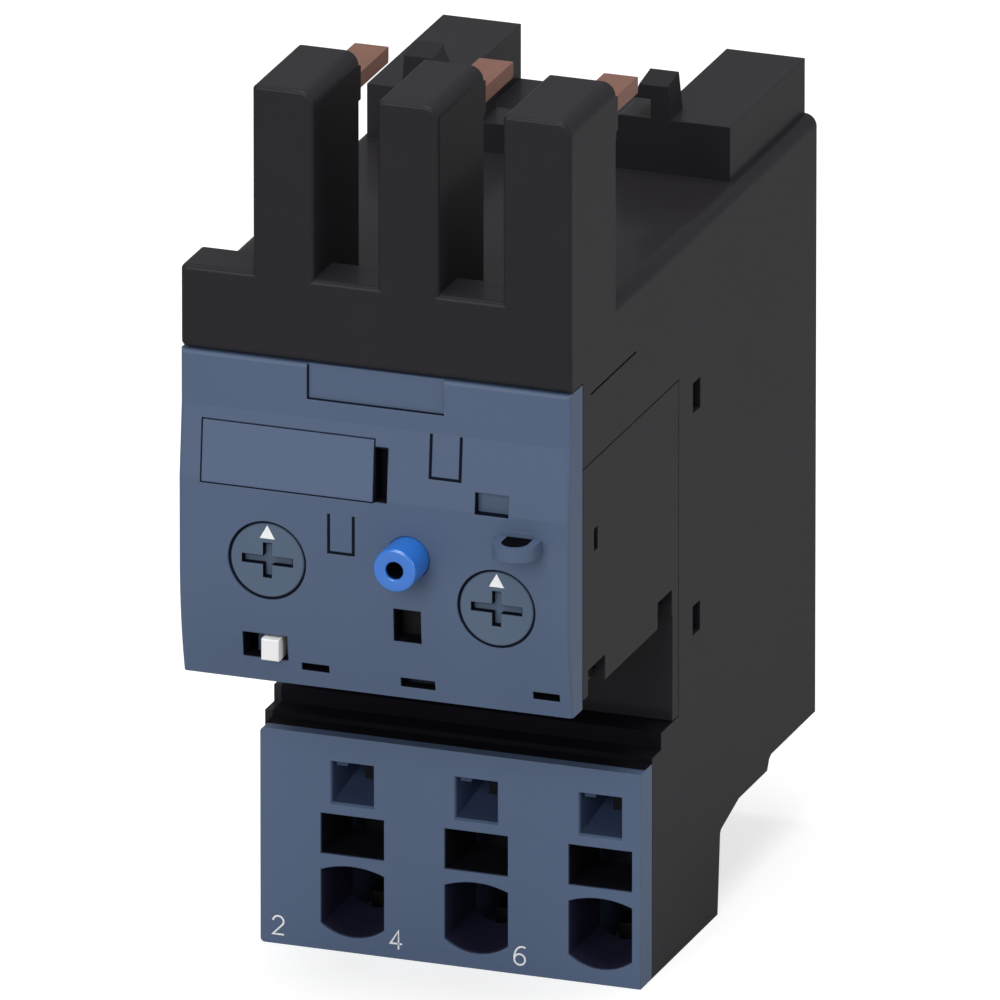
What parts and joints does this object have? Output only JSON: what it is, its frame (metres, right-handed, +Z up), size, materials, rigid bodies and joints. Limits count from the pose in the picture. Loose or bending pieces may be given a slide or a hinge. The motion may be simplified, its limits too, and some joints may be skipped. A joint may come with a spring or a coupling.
{
  "type": "overload relay",
  "caption": "Electronic overload relay with plug-in copper pins on a comb above, setting dials, reset button and selector in front, and spring clamp entries below.",
  "frame": {"origin": "under the middle of the whole object, on the plane of the bottom face", "axes": "+X to the right seen from the front, +Y from the front to the back, +Z up"},
  "size_m": [0.045, 0.0842, 0.1077],
  "materials": {
    "black_plastic": "fine spark-eroded moulded grain",
    "blue_grey_plastic": "fine moulded grain",
    "blue_button_plastic": "smooth moulded",
    "white_plastic": "smooth moulded",
    "copper": "bare stamped copper, slightly dulled",
    "contact_brass": "stamped contact alloy",
    "spring_steel": "rolled spring strip",
    "iron": "zinc plated magnet iron",
    "winding": "enamelled copper wire",
    "board": "solder mask on glass laminate",
    "component_black": "moulded component bodies",
    "natural_plastic": "unfilled natural moulding"
  },
  "bodies": {
    "housing": {"main_housing": "black_plastic", "rear_cover": "black_plastic", "module_housing": "black_plastic", "front_cover": "blue_grey_plastic", "label_plate": "blue_grey_plastic", "terminal_block": "blue_grey_plastic", "reset_spring": "spring_steel", "reset_switch": "component_black", "mode_switch": "component_black", "circuit_board": "board", "current_potentiometer": "component_black", "class_potentiometer": "component_black", "capacitors": "component_black", "processor_chip": "component_black", "trip_yoke": "iron", "trip_coil": "winding", "opening_contacts": "contact_brass", "closing_contacts": "contact_brass", "contact_holder": "natural_plastic", "transformer_tray": "natural_plastic", "busbar_1": "copper", "transformer_core_1": "iron", "transformer_winding_1": "winding", "clamp_spring_1": "spring_steel", "busbar_2": "copper", "transformer_core_2": "iron", "transformer_winding_2": "winding", "clamp_spring_2": "spring_steel", "busbar_3": "copper", "transformer_core_3": "iron", "transformer_winding_3": "winding", "clamp_spring_3": "spring_steel"},
    "current_dial": {"current_dial": "blue_grey_plastic"},
    "class_dial": {"class_dial": "blue_grey_plastic"},
    "reset_button": {"reset_button": "blue_button_plastic"},
    "mode_slide": {"mode_slide": "white_plastic"},
    "trip_carriage": {"contact_carriage": "natural_plastic", "trip_plunger": "iron", "trip_flag": "component_black", "opening_bridge": "contact_brass", "closing_bridge": "contact_brass"},
    "clamp_tongue_1": {"clamp_tongue_1": "spring_steel"},
    "clamp_tongue_2": {"clamp_tongue_2": "spring_steel"},
    "clamp_tongue_3": {"clamp_tongue_3": "spring_steel"}
  },
  "joints": [
    {"name": "current_dial_turn", "type": "hinge", "parent": "housing", "child": "current_dial", "pos_m": [-0.01225, -0.03707, 0.0535], "axis": [0, -1, 0], "range_deg": [-135, 135]},
    {"name": "class_dial_turn", "type": "hinge", "parent": "housing", "child": "class_dial", "pos_m": [0.0142, -0.03707, 0.0512], "axis": [0, -1, 0], "range_deg": [-135, 135]},
    {"name": "reset_press", "type": "slide", "parent": "housing", "child": "reset_button", "axis": [0, 1, 0], "range_m": [0, 0.0023], "stiffness_N_per_m": 300, "springref_m": -0.0015, "deforming": ["reset_spring"]},
    {"name": "mode_select", "type": "slide", "parent": "housing", "child": "mode_slide", "axis": [-1, 0, 0], "range_m": [0, 0.0023]},
    {"name": "trip_travel", "type": "slide", "parent": "housing", "child": "trip_carriage", "axis": [0, 0, 1], "range_m": [0, 0.0016]},
    {"name": "clamp_open_1", "type": "hinge", "parent": "housing", "child": "clamp_tongue_1", "pos_m": [-0.011, -0.00607, 0.0172], "axis": [1, 0, 0], "range_deg": [0, 20], "stiffness_Nm_per_rad": 0.01, "springref_deg": -5.73},
    {"name": "clamp_open_2", "type": "hinge", "parent": "housing", "child": "clamp_tongue_2", "pos_m": [0.0034, -0.00607, 0.0172], "axis": [1, 0, 0], "range_deg": [0, 20], "stiffness_Nm_per_rad": 0.01, "springref_deg": -5.73},
    {"name": "clamp_open_3", "type": "hinge", "parent": "housing", "child": "clamp_tongue_3", "pos_m": [0.0178, -0.00607, 0.0172], "axis": [1, 0, 0], "range_deg": [0, 20], "stiffness_Nm_per_rad": 0.01, "springref_deg": -5.73}
  ]
}
